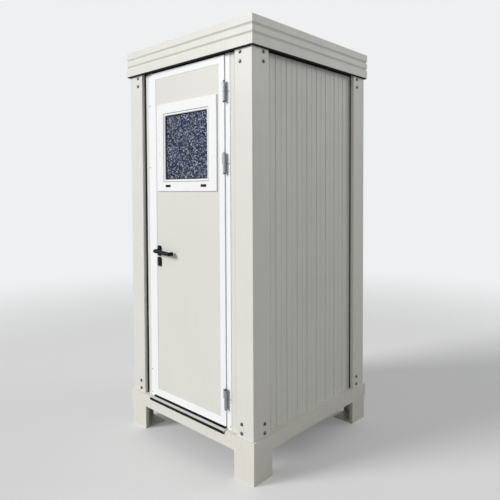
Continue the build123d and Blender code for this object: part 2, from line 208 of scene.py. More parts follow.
@dataclass(frozen=True)
class PaintedSheet(Finish):
    """Polyester coating baked on sheet metal: satin and even, with a faint orange peel.

    Outdoors it takes on thin dust in clouds, rain streaks down upright faces, and splashed dirt by the ground.
    Orange peel has a pitch of 1 to 2 mm, which would not show, so it is drawn at 7 to 9 mm.
    """

    dirt_and_shade: str = "#aca694"
    roughness: float = 0.42
    cloud_mm: float = 380.0
    clouds: float = 0.10
    streak_width_mm: float = 14.0
    streak_length_mm: float = 550.0
    streaks: float = 0.10
    splash_height_mm: float = 420.0
    spatter_mm: float = 29.0
    splash: float = 0.30
    peel_mm: float = 7.0
    peel: float = 0.10

    def wire(self, tree: bpy.types.NodeTree) -> bpy.types.Node:
        """Add the coating's nodes and return its shader."""
        place = add_node(tree, "TexCoord").outputs["Object"]
        cloud = add_node(tree, "TexNoise", {
            "Vector": place, "Scale": 1 / (self.cloud_mm * MM), "Detail": 5.0, "Roughness": 0.6})
        cloudy = add_node(tree, "MapRange", {
            "Value": cloud, "From Min": 0.42, "From Max": 0.72, "To Max": self.clouds})
        width = 1 / (self.streak_width_mm * MM)
        drawn = add_node(tree, "Mapping", {
            "Vector": place, "Scale": (width, width, 1 / (self.streak_length_mm * MM))})
        streak = add_node(tree, "TexNoise", {"Vector": drawn, "Scale": 1.0, "Detail": 3.0, "Roughness": 0.55})
        streaky = add_node(tree, "MapRange", {
            "Value": streak, "From Min": 0.52, "From Max": 0.78, "To Max": self.streaks})
        height = add_node(tree, "SeparateXYZ", {"Vector": place}).outputs["Z"]
        low = add_node(tree, "MapRange", {
            "Value": height, "From Min": 0.0, "From Max": self.splash_height_mm * MM, "To Min": self.splash,
            "To Max": 0.0}, interpolation_type="SMOOTHSTEP")
        spatter = add_node(tree, "TexNoise", {
            "Vector": place, "Scale": 1 / (self.spatter_mm * MM), "Detail": 6.0, "Roughness": 0.72})
        splashed = add_node(tree, "Math", {0: low, 1: spatter}, operation="MULTIPLY")
        dust_and_shade = add_node(tree, "Math", {0: cloudy, 1: streaky}, operation="ADD")
        # Ribbed walls add painted shade in their grooves here, partly standing for dust there.
        grooves_darkened = self.groove_shade_and_dust(tree, place)
        if grooves_darkened is not None:
            dust_and_shade = add_node(tree, "Math", {0: dust_and_shade, 1: grooves_darkened}, operation="ADD")
        soil_and_shade = add_node(tree, "Math", {0: dust_and_shade, 1: splashed}, operation="ADD", use_clamp=True)
        colour = add_node(tree, "Mix", {
            0: soil_and_shade, 6: linear(self.colour), 7: linear(self.dirt_and_shade)}, data_type="RGBA")
        rough = add_node(tree, "MapRange", {
            "Value": soil_and_shade, "From Max": 0.35, "To Min": self.roughness, "To Max": self.roughness + 0.22})
        peel = add_node(tree, "TexNoise", {"Vector": place, "Scale": 1 / (self.peel_mm * MM), "Detail": 2.0})
        return self.shaded(tree, peel.outputs["Fac"], self.peel, 0.4, {
            "Base Color": colour.outputs[2], "Roughness": rough.outputs["Result"]})

    def groove_shade_and_dust(self, tree: bpy.types.NodeTree, place: bpy.types.NodeSocket) -> bpy.types.NodeSocket | None:
        """Return how much painted shade and dust darken the sheet's own shape, which is none on a flat one."""
        return None


@dataclass(frozen=True)
class RibbedSheet(PaintedSheet):
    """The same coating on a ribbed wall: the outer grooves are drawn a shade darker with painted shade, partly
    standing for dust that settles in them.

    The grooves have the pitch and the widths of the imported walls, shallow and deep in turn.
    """

    course: Course = Course.ALONG_X
    pitch_mm: float = 48.5
    shallow_mm: float = 8.0
    deep_mm: float = 12.0
    shallow_shade_and_dust: float = 0.24
    deep_shade_and_dust: float = 0.40

    def groove_shade_and_dust(self, tree: bpy.types.NodeTree, place: bpy.types.NodeSocket) -> bpy.types.NodeSocket | None:
        """Return how much painted shade, partly standing for settled dust, darkens the grooves.

        Args:
            tree: The material's node tree.
            place: The place on the wall.

        Returns:
            The share of painted shade and dust, which is none on the wall's inner face.
        """
        axes = add_node(tree, "SeparateXYZ", {"Vector": place})
        pitch = self.pitch_mm * MM
        turn = add_node(tree, "Math", {0: axes.outputs[self.course.value], 1: pitch}, operation="PINGPONG")
        # Painted shade at the bottoms of the shallow and deep grooves, where shade falls, partly standing for
        # dust.
        shallow = add_node(tree, "MapRange", {
            "Value": turn, "From Max": self.shallow_mm / 2 * MM, "To Min": self.shallow_shade_and_dust,
            "To Max": 0.0}, interpolation_type="SMOOTHSTEP")
        deep = add_node(tree, "MapRange", {
            "Value": turn, "From Min": pitch - self.deep_mm / 2 * MM, "From Max": pitch,
            "To Max": self.deep_shade_and_dust}, interpolation_type="SMOOTHSTEP")
        both = add_node(tree, "Math", {0: shallow, 1: deep}, operation="ADD")
        out = add_node(tree, "Math", {0: axes.outputs[1 - self.course.value]}, operation="ABSOLUTE")
        outside = add_node(tree, "Math", {0: out, 1: WALL_SKIN - 5 * MM}, operation="GREATER_THAN")
        return add_node(tree, "Math", {0: both, 1: outside}, operation="MULTIPLY").outputs[0]


@dataclass(frozen=True)
class MouldedPlastic(Finish):
    """Extruded or moulded plastic: one even colour, with a soft shine broken by a fine mould grain.

    Mould grain is about 0.1 mm, which would not show, so it is drawn at 2.5 mm.
    """

    roughness: float = 0.3
    shine: float = 0.5
    patch_mm: float = 62.0
    grain_mm: float = 2.5
    grain: float = 0.06
    worn: str = "#ffffff"
    wear: float = 0.05

    def wire(self, tree: bpy.types.NodeTree) -> bpy.types.Node:
        """Add the plastic's nodes and return its shader."""
        place = add_node(tree, "TexCoord").outputs["Object"]
        patch, colour = self.patched(
            tree, place, self.worn, self.wear,
            {"Scale": 1 / (self.patch_mm * MM), "Detail": 5.0, "Roughness": 0.65}, (0.4, 0.75))
        rough = add_node(tree, "MapRange", {
            "Value": patch, "From Min": 0.3, "From Max": 0.75, "To Min": self.roughness - 0.05,
            "To Max": self.roughness + 0.12})
        grain = add_node(tree, "TexNoise", {
            "Vector": place, "Scale": 1 / (self.grain_mm * MM), "Detail": 2.0})
        return self.shaded(tree, grain.outputs["Fac"], self.grain, 0.2, {
            "Base Color": colour, "Roughness": rough.outputs["Result"], "Specular IOR Level": self.shine})


@dataclass(frozen=True)
class BareMetal(Finish):
    """Bare or thinly plated metal: a metallic shine broken by rolling lines, with dull patches of oxide.

    Rolling and brushing lines are about 0.1 mm wide, which would not show, so they are drawn at 2.5 mm or
    more.
    """

    dull: str = "#8d8f90"
    dullness: float = 0.25
    roughness: float = 0.36
    metallic: float = 1.0
    patch_mm: float = 38.0
    grain: Grain = Grain.NONE
    line_mm: float = 2.5
    lines: float = 0.12

    def wire(self, tree: bpy.types.NodeTree) -> bpy.types.Node:
        """Add the metal's nodes and return its shader."""
        place = add_node(tree, "TexCoord").outputs["Object"]
        _, colour = self.patched(
            tree, place, self.dull, self.dullness,
            {"Scale": 1 / (self.patch_mm * MM), "Detail": 5.0, "Roughness": 0.7}, (0.4, 0.7))
        drawn = add_node(tree, "Mapping", {"Vector": place, "Scale": self.grain.value})
        line = add_node(tree, "TexNoise", {"Vector": drawn, "Scale": 1 / (self.line_mm * MM), "Detail": 3.0})
        rough = add_node(tree, "MapRange", {
            "Value": line, "From Min": 0.3, "From Max": 0.7, "To Min": self.roughness - 0.08,
            "To Max": self.roughness + 0.12})
        return self.shaded(tree, line.outputs["Fac"], self.lines, 0.2, {
            "Base Color": colour, "Metallic": self.metallic, "Roughness": rough.outputs["Result"]})


@dataclass(frozen=True)
class SealingRubber(Finish):
    """Extruded black sealing rubber: deep black and matt, greyed in patches by dust that clings to it."""

    dust: str = "#5b5a57"
    dusting: float = 0.12
    roughness: float = 0.72
    shine: float = 0.2
    patch_mm: float = 45.0

    def wire(self, tree: bpy.types.NodeTree) -> bpy.types.Node:
        """Add the rubber's nodes and return its shader."""
        place = add_node(tree, "TexCoord").outputs["Object"]
        patch, colour = self.patched(
            tree, place, self.dust, self.dusting,
            {"Scale": 1 / (self.patch_mm * MM), "Detail": 6.0, "Roughness": 0.7}, (0.42, 0.75))
        return self.shaded(tree, patch, 0.15, 0.3, {
            "Base Color": colour, "Roughness": self.roughness, "Specular IOR Level": self.shine})


@dataclass(frozen=True)
class FloatGlass(Finish):
    """Clear float glass: a sharp reflection over what lies behind, dulled a little by dust."""

    roughness: float = 0.02
    ior: float = 1.52
    dust_mm: float = 83.0

    def wire(self, tree: bpy.types.NodeTree) -> bpy.types.Node:
        """Add the glass's nodes and return its shader."""
        place = add_node(tree, "TexCoord").outputs["Object"]
        dust = add_node(tree, "TexNoise", {"Vector": place, "Scale": 1 / (self.dust_mm * MM), "Detail": 6.0})
        rough = add_node(tree, "MapRange", {
            "Value": dust, "From Min": 0.4, "From Max": 0.8, "To Min": self.roughness,
            "To Max": self.roughness + 0.08})
        return add_node(tree, "BsdfPrincipled", {
            "Base Color": linear(self.colour), "Roughness": rough, "IOR": self.ior,
            "Transmission Weight": 1.0})


@dataclass(frozen=True)
class HammeredGlass(Finish):
    """Soda-lime glass rolled on a hammered roller, with a painted highlight: a pale glint is painted into some
    of its dimples, where a dimple turned to the light would glint.

    Real dimples are 5 to 8 mm across, and the finest would not show, so they are drawn at 8.5 mm. The glass's
    own tint drifts between blue and grey.
    """

    grey: str = "#20273e"
    painted_glint: str = "#e9f0ff"
    sheen: str = "#93a3cc"
    roughness: float = 0.12
    ior: float = 1.50
    cell_mm: float = 8.5
    drift_mm: float = 90.0
    clear: float = 0.36

    def wire(self, tree: bpy.types.NodeTree) -> bpy.types.Node:
        """Add the glass's nodes and return its shader."""
        place = add_node(tree, "TexCoord").outputs["Object"]
        cell = add_node(tree, "TexVoronoi", {
            "Vector": place, "Scale": 1 / (self.cell_mm * MM), "Randomness": 0.85})
        dimple = add_node(tree, "MapRange", {
            "Value": cell, "From Min": 0.15, "From Max": 0.78, "To Min": 1.0,
            "To Max": 0.0}, interpolation_type="SMOOTHSTEP")
        # Painted highlight: some cells, picked by their random colour, get a pale glint painted into their
        # dimples.
        turn = add_node(tree, "SeparateColor", {"Color": cell.outputs["Color"]})
        painted_glint_cells = add_node(tree, "MapRange", {
            "Value": turn.outputs["Red"], "From Min": 0.38, "From Max": 0.92})
        painted_glint_mask = add_node(tree, "Math", {0: dimple, 1: painted_glint_cells}, operation="MULTIPLY")
        drift = add_node(tree, "TexNoise", {
            "Vector": place, "Scale": 1 / (self.drift_mm * MM), "Detail": 2.0})
        drifted = add_node(tree, "MapRange", {"Value": drift, "From Min": 0.38, "From Max": 0.62})
        tint = add_node(tree, "Mix", {
            0: drifted, 6: linear(self.colour), 7: linear(self.grey)}, data_type="RGBA")
        colour = add_node(tree, "Mix", {0: painted_glint_mask, 6: tint.outputs[2], 7: linear(self.painted_glint)}, data_type="RGBA")
        return self.shaded(tree, dimple.outputs["Result"], 0.6, 1.0, {
            "Base Color": colour.outputs[2], "Roughness": self.roughness, "IOR": self.ior,
            "Specular Tint": linear(self.sheen), "Transmission Weight": self.clear})


@dataclass(frozen=True)
class Plywood(Finish):
    """Birch plywood with a brown phenol film: smooth, with the grain showing faintly and scuffed by boots.

    The grain's lines are 1 to 2 mm wide, which would not show, so they are drawn at 9 mm.
    """

    scuffed: str = "#8a7a63"
    grain_width_mm: float = 9.0
    grain_length_mm: float = 330.0
    scuff_mm: float = 110.0

    def wire(self, tree: bpy.types.NodeTree) -> bpy.types.Node:
        """Add the board's nodes and return its shader."""
        place = add_node(tree, "TexCoord").outputs["Object"]
        width = 1 / (self.grain_width_mm * MM)
        drawn = add_node(tree, "Mapping", {
            "Vector": place, "Scale": (width, 1 / (self.grain_length_mm * MM), width)})
        grain = add_node(tree, "TexNoise", {"Vector": drawn, "Scale": 1.0, "Detail": 4.0, "Distortion": 0.4})
        scuff = add_node(tree, "TexNoise", {
            "Vector": place, "Scale": 1 / (self.scuff_mm * MM), "Detail": 6.0, "Roughness": 0.75})
        both = add_node(tree, "Math", {0: grain, 1: scuff}, operation="MULTIPLY")
        worn = add_node(tree, "MapRange", {"Value": both, "From Min": 0.15, "From Max": 0.42, "To Max": 0.7})
        colour = add_node(tree, "Mix", {
            0: worn, 6: linear(self.colour), 7: linear(self.scuffed)}, data_type="RGBA")
        return self.shaded(tree, grain.outputs["Fac"], 0.2, 0.3, {
            "Base Color": colour.outputs[2], "Roughness": 0.5})


# Powder coat sprayed and baked on folded steel: an even cream with a satin sheen, so that the folds read as
# soft pale edges.
FRAME_PAINT = PaintedSheet("powder_coated_steel", "frame_paint", "#e4e3dc")
# The same coat near the ground: the splashes of rain dull it, and it looks a shade warmer.
BASE_PAINT = PaintedSheet("powder_coated_base_steel", "frame_paint", "#e6e4db", clouds=0.08, splash=0.22)
# Polyester coil coat on roll-formed panel sheet: a greyer, flatter white, with rain streaks along the grooves.
COIL_COAT = {
    "slot": "wall_coating", "colour": "#e1e1dc", "roughness": 0.46, "streaks": 0.14, "peel_mm": 9.0,
    "peel": 0.14}
WALL_COATING = PaintedSheet("coil_coated_panel", **COIL_COAT)
# The same sheet on the ribbed walls: painted shade in the grooves, partly standing for dust, draws them as fine
# darker lines from a distance.
SIDE_COATING = RibbedSheet("coil_coated_ribbed_side", course=Course.ALONG_Y, **COIL_COAT)
BACK_COATING = RibbedSheet("coil_coated_ribbed_back", course=Course.ALONG_X, **COIL_COAT)
# Powder coat on extruded aluminium: clean bright white and smoother than on steel, so it shines a little more.
DOOR_COATING = PaintedSheet(
    "powder_coated_aluminium", "door_coating", "#fafbfc", roughness=0.34, clouds=0.04, streaks=0.04, peel=0.06)
# Coil coat on the door's flat sheet: a warm grey-white that stands off from the white rim round it.
PANEL_COATING = PaintedSheet(
    "coated_door_sheet", "panel_coating", "#e2e1da", roughness=0.40, clouds=0.06, streaks=0.06)
# Polysulphide sealant, gunned and drawn flat: cream like the panels, and duller than they are.
JOINT_SEALANT = MouldedPlastic(
    "cream_joint_sealant", "wall_coating", "#e1e1dc", roughness=0.6, shine=0.3, worn="#c9c7bf", wear=0.2)
# Hot-dip galvanised sheet: grey, with dull clouds of oxide over a weak metallic shine.
ROOF_METAL = BareMetal(
    "galvanised_roof_sheet", "roof_metal", "#c3c6c7", dull="#8c9091", dullness=0.6, roughness=0.48,
    line_mm=18.0)
# Extruded aluminium left as it came from the die: pale and silky, with lines along its length.
SILL_METAL = BareMetal(
    "mill_finish_aluminium", "sill_metal", "#d9dad6", dull="#b3b4b0", dullness=0.3, roughness=0.44,
    metallic=0.45, grain=Grain.LEVEL)
# Silver lacquer over a drawn steel hinge: a cool mid grey whose round turns quickly from light to dark.
HINGE_METAL = BareMetal(
    "silver_coated_hinge", "hinge_metal", "#a3a6ab", dull="#7d8085", roughness=0.34, metallic=0.85)
# Black electro-coat over brass: nearly black, with a brown shimmer where keys have rubbed it.
LOCK_COAT = BareMetal(
    "black_coated_brass", "lock_metal", "#1c1c1b", dull="#3a3833", roughness=0.34, metallic=0.2)
# Stainless steel brushed upright: bright, with the light drawn out across the lines.
PLATE_STEEL = BareMetal("satin_stainless_steel", "hinge_metal", "#c5c5c1", roughness=0.3, grain=Grain.UPRIGHT)
# Zinc plating, passivated and weathered: dark blue-grey with a small sharp highlight on each domed head.
BOLT_ZINC = BareMetal(
    "zinc_plated_steel", "hinge_metal", "#63666b", dull="#44474b", dullness=0.5, roughness=0.36)
# Extruded window PVC: the whitest surface, smooth and a little glossy, with a trace of yellowing.
WINDOW_PLASTIC = MouldedPlastic(
    "white_window_pvc", "window_plastic", "#fafbfb", roughness=0.26, worn="#ecebe6", wear=0.15)
# Glass-filled nylon, moulded and spark-eroded: deep black with a broad dull sheen, greyed where hands rub it.
HANDLE_NYLON = MouldedPlastic(
    "black_moulded_nylon", "handle_nylon", "#060607", roughness=0.45, shine=0.15, grain=0.12, worn="#1e1f21",
    wear=0.15)
# Moulded polyethylene: black and duller than the nylon, so that the small caps read as dark spots. The same
# black in the strike plate's openings is painted shade for their depth.
BLACK_CAPS_AND_SHADE = MouldedPlastic(
    "black_cap_plastic_and_painted_shade", "gasket_rubber", "#060607", roughness=0.5, shine=0.15, worn="#232323", wear=0.15)
# Moulded polyethylene in grey: a soft dot on the white jamb, dirty round its edge.
SCREW_CAP = MouldedPlastic(
    "grey_cap_plastic", "window_plastic", "#b9bab8", roughness=0.4, worn="#8f8f8b", wear=0.3)
# Extruded EPDM rubber: matt black that swallows the light, so that each joint is a crisp dark line. The same
# black also stands as painted shade under the sill's nose, on the sill before the leaf and under the fascias.
BLACK_RUBBER_AND_SHADE = SealingRubber("black_rubber_and_painted_shade", "gasket_rubber", "#0c0c0d")
# A grey ring on the glazing bead that draws the shaded step between bead and frame as painted shade, partly a
# real joint line: a thin soft shadow line round the bead.
BEAD_SHADE_LINE = SealingRubber("grey_bead_painted_shade_line", "gasket_rubber", "#66686a", dust="#8b8a87")
# Body-tinted glass rolled with a hammered face: blue-black, with a painted highlight, a small pale glint, in
# some of its dimples.
HAMMERED_GLASS = HammeredGlass("hammered_glass", "window_glass", "#131f4a")
# Float glass: nearly unseen but for the reflections on it.
CLEAR_GLASS = FloatGlass("clear_float_glass", "window_glass", "#dfe9ea")
# Birch plywood pressed with a phenol film: dark brown, scuffed pale where feet go.
FLOOR_BOARD = Plywood("film_faced_plywood", "floor_board", "#5f4a37")


def dress(finish: Finish, nodes: Iterable[str]) -> None:
    """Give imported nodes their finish.

    Args:
        finish: What the real surface is.
        nodes: The names of the nodes that have it.
    """
    for name in nodes:
        node = frame["nodes"][name]
        if not node.material_slots:
            node.data.materials.append(finish.material())
        for slot in node.material_slots:
            slot.material = finish.material()
        LOG.info("node %s is %s", name, finish.name)


def select_only(pieces: Iterable[bpy.types.Object]) -> None:
    """Select these objects and nothing else, the last of them active."""
    bpy.ops.object.select_all(action="DESELECT")
    for piece in pieces:
        piece.select_set(True)
        bpy.context.view_layer.objects.active = piece


@contextmanager
def editing(piece: bpy.types.Object) -> Iterator[None]:
    """Hold a piece in edit mode, alone and with nothing selected in it."""
    select_only([piece])
    bpy.ops.object.mode_set(mode="EDIT")
    bpy.ops.mesh.select_all(action="DESELECT")
    yield
    bpy.ops.object.mode_set(mode="OBJECT")


def pick_faces(piece: bpy.types.Object, wanted: Callable[[Vector, Vector], bool]) -> None:
    """Select the faces of a piece in edit mode by a test.

    Args:
        piece: The piece that is open in edit mode.
        wanted: Says yes or no to a face's centre and normal.
    """
    bpy.ops.mesh.select_mode(type="FACE")
    bpy.ops.mesh.select_all(action="DESELECT")
    shape = bmesh.from_edit_mesh(piece.data)
    for face in shape.faces:
        face.select_set(wanted(face.calc_center_median(), face.normal))
    bmesh.update_edit_mesh(piece.data)


def pick_edges(piece: bpy.types.Object, wanted: Callable[[Vector, Vector], bool]) -> None:
    """Select the edges of a piece in edit mode by a test.

    Args:
        piece: The piece that is open in edit mode.
        wanted: Says yes or no to an edge's two end points.
    """
    bpy.ops.mesh.select_mode(type="EDGE")
    bpy.ops.mesh.select_all(action="DESELECT")
    shape = bmesh.from_edit_mesh(piece.data)
    for edge in shape.edges:
        edge.select_set(wanted(edge.verts[0].co, edge.verts[1].co))
    bmesh.update_edit_mesh(piece.data)


def bring_home(piece: bpy.types.Object) -> bpy.types.Object:
    """Put a piece's place into its mesh, so that its object sits at the origin, and return it."""
    select_only([piece])
    bpy.ops.object.transform_apply(location=True, rotation=True, scale=True)
    return piece


def add_block(centre: Vector, size: Vector) -> bpy.types.Object:
    """Add a block to shape further.

    Args:
        centre: The block's centre.
        size: Its full lengths along X, Y and Z.

    Returns:
        The block, with its place in its mesh.
    """
    bpy.ops.object.select_all(action="DESELECT")
    bpy.ops.mesh.primitive_cube_add(size=1.0, location=centre)
    bpy.context.object.scale = size
    return bring_home(bpy.context.object)


def add_round(centre: Vector, radius: float, height: float, sides: int = 28) -> bpy.types.Object:
    """Add an upright round bar to shape further.

    Args:
        centre: The centre of its bottom face.
        radius: Its radius.
        height: Its height along Z.
        sides: How many flat sides stand for the round.

    Returns:
        The bar, with its place in its mesh.
    """
    bpy.ops.object.select_all(action="DESELECT")
    bpy.ops.mesh.primitive_cylinder_add(
        vertices=sides, radius=radius, depth=height, location=centre + UP * height / 2)
    return bring_home(bpy.context.object)


def add_ring(low: Vector, high: Vector, width: float, depth: float, bevel: float) -> bpy.types.Object:
    """Make a rectangular ring that stands upright and faces the front, such as a seal.

    Args:
        low: The ring's lowest corner, at its back face.
        high: Its highest corner, on the same plane.
        width: How wide its bars are.
        depth: How far it stands out to the front.
        bevel: How much its front edges are rounded.

    Returns:
        The finished ring.
    """
    bpy.ops.object.select_all(action="DESELECT")
    bpy.ops.mesh.primitive_plane_add(size=1.0, location=(low + high) / 2, rotation=(math.pi / 2, 0, 0))
    ring = bpy.context.object
    ring.scale = (high.x - low.x, high.z - low.z, 1.0)
    bring_home(ring)
    front = low.y - depth
    with editing(ring):
        raise_ring(width, (0, -depth, 0))
        tolerance = depth / 10
        pick_edges(ring, lambda a, b: max(a.y, b.y) < front + tolerance and along_bar(a, b))
        bpy.ops.mesh.bevel(offset=bevel, segments=3, affect="EDGES")
    return ring


def raise_ring(width: float, shift: tuple[float, float, float]) -> None:
    """Turn the flat sheet that is open in edit mode into a closed ring.

    Args:
        width: How wide the ring's bars are.
        shift: How far, and which way, the ring is raised.
    """
    bpy.ops.mesh.select_all(action="SELECT")
    bpy.ops.mesh.inset(thickness=width)
    bpy.ops.mesh.delete(type="FACE")
    bpy.ops.mesh.select_all(action="SELECT")
    bpy.ops.mesh.extrude_region_move(TRANSFORM_OT_translate={"value": shift})
    bpy.ops.mesh.select_all(action="SELECT")
    bpy.ops.mesh.normals_make_consistent(inside=False)


def along_bar(a: Vector, b: Vector) -> bool:
    """Say whether an edge runs along X or along Z, and not across a mitre."""
    return abs(a.x - b.x) < SAME or abs(a.z - b.z) < SAME


def apply_modifier(piece: bpy.types.Object, kind: str, settings: dict[str, object]) -> None:
    """Add a modifier to a piece and apply it.

    Args:
        piece: The piece to change.
        kind: The modifier's type name.
        settings: The modifier's properties.
    """
    select_only([piece])
    modifier = piece.modifiers.new(kind.lower(), kind)
    for key, value in settings.items():
        setattr(modifier, key, value)
    bpy.ops.object.modifier_apply(modifier=modifier.name)


def smooth(piece: bpy.types.Object, degrees: float = 35.0) -> None:
    """Shade a piece smooth, with its edges sharper than this angle kept sharp."""
    select_only([piece])
    bpy.ops.object.shade_smooth_by_angle(angle=math.radians(degrees))


def round_edges(
    piece: bpy.types.Object, wanted: Callable[[Vector, Vector], bool], offset: float, segments: int,
    degrees: float = 35.0,
) -> None:
    """Round some edges of a piece, and shade it smooth.

    Args:
        piece: The piece.
        wanted: Says yes or no to an edge's two end points.
        offset: How far the rounding reaches.
        segments: How many steps stand for the round.
        degrees: The angle above which an edge stays sharp.
    """
    with editing(piece):
        pick_edges(piece, wanted)
        bpy.ops.mesh.bevel(offset=offset, segments=segments, affect="EDGES")
    smooth(piece, degrees)


def add_cap(radius: float, height: float, sides: int = 28) -> bpy.types.Object:
    """Model one domed cap, facing up at the origin.

    Args:
        radius: Its radius.
        height: Its height.
        sides: How many flat sides stand for the round.

    Returns:
        The finished cap.
    """
    cap = add_round(Vector((0, 0, 0)), radius, height, sides)
    crown = height - HAIR
    round_edges(cap, lambda a, b: min(a.z, b.z) > crown, height * 0.8, 4, 50.0)
    return cap


def copies(pattern: bpy.types.Object, places: Iterable[Matrix], name: str) -> bpy.types.Object:
    """Put copies of a pattern at several places and join them to one piece.

    Args:
        pattern: The piece modelled once, facing up at the origin. It is removed.
        places: Where each copy goes.
        name: The joined piece's name.

    Returns:
        The joined piece.
    """
    made = []
    for place in places:
        mesh = pattern.data.copy()
        mesh.transform(place)
        copy = bpy.data.objects.new(name, mesh)
        bpy.context.scene.collection.objects.link(copy)
        made.append(copy)
    bpy.data.objects.remove(pattern)
    select_only(made)
    if len(made) > 1:
        bpy.ops.object.join()
    joined = bpy.context.view_layer.objects.active
    joined.name = name
    return joined


def facing_out(outward: Vector, place: Vector) -> Matrix:
    """Turn what was modelled facing up, with its top towards +Y, to face outwards at a place.

    Args:
        outward: The level direction that it faces.
        place: Where its origin goes.

    Returns:
        The matrix for its mesh.
    """
    turned = Matrix((UP.cross(outward), UP, outward)).transposed().to_4x4()
    return Matrix.Translation(place) @ turned


def fasten(piece: bpy.types.Object, name: str, body: Body, finish: Finish) -> bpy.types.Object:
    """Name a finished piece, give it its finish and let it ride on its body.

    Args:
        piece: The finished piece.
        name: Its name.
        body: What it moves with.
        finish: What its surface is.

    Returns:
        The same piece.
    """
    piece.name = name
    piece.data.name = name
    piece.data.materials.clear()
    piece.data.materials.append(finish.material())
    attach(piece, body.value)
    LOG.info("piece %s rides on %s and has %d faces", name, body.value, len(piece.data.polygons))
    return piece


@dataclass
class BaseFrame:
    """The legs, the base frame and the floor."""

    corners: tuple[str, ...] = ("front_right", "back_right", "back_left", "front_left")
    sides: tuple[str, ...] = ("front", "right", "back", "left")

    def build(self) -> None:
        """Dress the legs, beams, joists and floor."""
        dress(BASE_PAINT, [f"leg_{corner}" for corner in self.corners])
        dress(BASE_PAINT, [f"base_beam_{side}" for side in self.sides])
        dress(BASE_PAINT, ["floor_joists"])
        dress(FLOOR_BOARD, ["floor_panel"])


@dataclass
class CornerPosts:
    """The folded posts, with two domed bolts on washers at each end of each outer face."""

    washer_radius: float = 10.5 * MM
    washer_sheet: float = 1.6 * MM
    head_radius: float = 8.5 * MM
    head_height: float = 5.5 * MM
    from_corner: float = 89 * MM
    from_end: float = 22 * MM
    pitch: float = 51 * MM
    corners: dict[str, tuple[Facing, Facing]] = field(default_factory=lambda: {
        "front_right": (Facing.FRONT, Facing.RIGHT),
        "back_right": (Facing.BACK, Facing.RIGHT),
        "back_left": (Facing.BACK, Facing.LEFT),
        "front_left": (Facing.FRONT, Facing.LEFT),
    })

    def model_bolt(self) -> bpy.types.Object:
        """Model one domed bolt on its washer, facing up, and return it."""
        bolt = add_round(Vector((0, 0, 0)), self.washer_radius, self.washer_sheet)
        top = self.washer_sheet
        with editing(bolt):
            pick_faces(bolt, lambda centre, normal: normal.z > 0.9)
            bpy.ops.mesh.inset(thickness=self.washer_radius - self.head_radius)
            bpy.ops.mesh.extrude_region_move(TRANSFORM_OT_translate={"value": (0, 0, self.head_height)})
            crown = top + self.head_height - HAIR
            pick_edges(bolt, lambda a, b: min(a.z, b.z) > crown)
            bpy.ops.mesh.bevel(offset=self.head_height * 0.86, segments=5, affect="EDGES")
            rim = self.washer_radius - HAIR
            pick_edges(
                bolt, lambda a, b: min(a.z, b.z) > top - HAIR and min(a.xy.length, b.xy.length) > rim)
            bpy.ops.mesh.bevel(offset=0.6 * MM, segments=2, affect="EDGES")
        smooth(bolt, 50.0)
        return bolt

    def places(self, faces: tuple[Facing, Facing], low: Vector, high: Vector) -> Iterator[Matrix]:
        """Yield where each bolt of one post goes.

        Args:
            faces: The post's front or back side, and its right or left side.
            low: The lowest corner of what shows of the post.
            high: The highest corner of it.
        """
        end, side = (face.outward() for face in faces)
        reach = max(abs(low.x), abs(high.x))
        heights = [low.z + self.from_end, low.z + self.from_end + self.pitch,
                   high.z - self.from_end - self.pitch, high.z - self.from_end]
        for outward, across in ((end, side), (side, end)):
            for height in heights:
                spot = outward * reach + across * (reach - self.from_corner) + UP * height
                yield facing_out(outward, spot)

    def build(self) -> None:
        """Dress the posts and brackets and add the bolts."""
        dress(FRAME_PAINT, [f"corner_post_{corner}" for corner in self.corners])
        dress(FRAME_PAINT, ["corner_brackets"])
        under_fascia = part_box("roof_fascia_front")[0].z
        for corner, faces in self.corners.items():
            low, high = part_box(f"corner_post_{corner}")
            high.z = under_fascia
            bolts = copies(self.model_bolt(), self.places(faces, low, high), f"bolts_{corner}")
            fasten(bolts, f"bolts_{corner}", Body.CABIN, BOLT_ZINC)


@dataclass
class Walls:
    """The insulated wall panels, the rubber beside them, and the sealant along the strips by the door."""

    strip_gap: float = 23 * MM
    sealant_widths: dict[str, float] = field(default_factory=lambda: {"left": 2.5 * MM, "right": 6 * MM})
    sealant_depth: float = 6.5 * MM
    sealant_bevel: float = 0.8 * MM

    def add_sealant(self) -> None:
        """Draw a bead of sealant down the outer edge of each strip, the fuller one on the hinges' side."""
        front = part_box("front_wall_right")[0].y
        foot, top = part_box("door_jamb_right")[0].z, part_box("door_jamb_right")[1].z
        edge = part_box("corner_post_front_right")[0].x - self.strip_gap
        for (side, width), sign in zip(self.sealant_widths.items(), (-1, 1)):
            bead = add_block(
                Vector((sign * (edge + width / 2), front + self.sealant_depth / 2, (foot + top) / 2)),
                Vector((width, self.sealant_depth, top - foot)))
            round_edges(
                bead, lambda a, b: max(a.y, b.y) < front + HAIR and abs(a.z - b.z) > width,
                self.sealant_bevel, 3)
            fasten(bead, f"joint_sealant_{side}", Body.CABIN, JOINT_SEALANT)

    def build(self) -> None:
        """Dress the panels and the gaskets and add the sealant."""
        dress(SIDE_COATING, ["right_wall", "left_wall"])
        dress(BACK_COATING, ["back_wall"])
        dress(WALL_COATING, ["front_wall_left", "front_wall_right", "ceiling_panel"])
        dress(BLACK_RUBBER_AND_SHADE, ["wall_gaskets"])
        self.add_sealant()


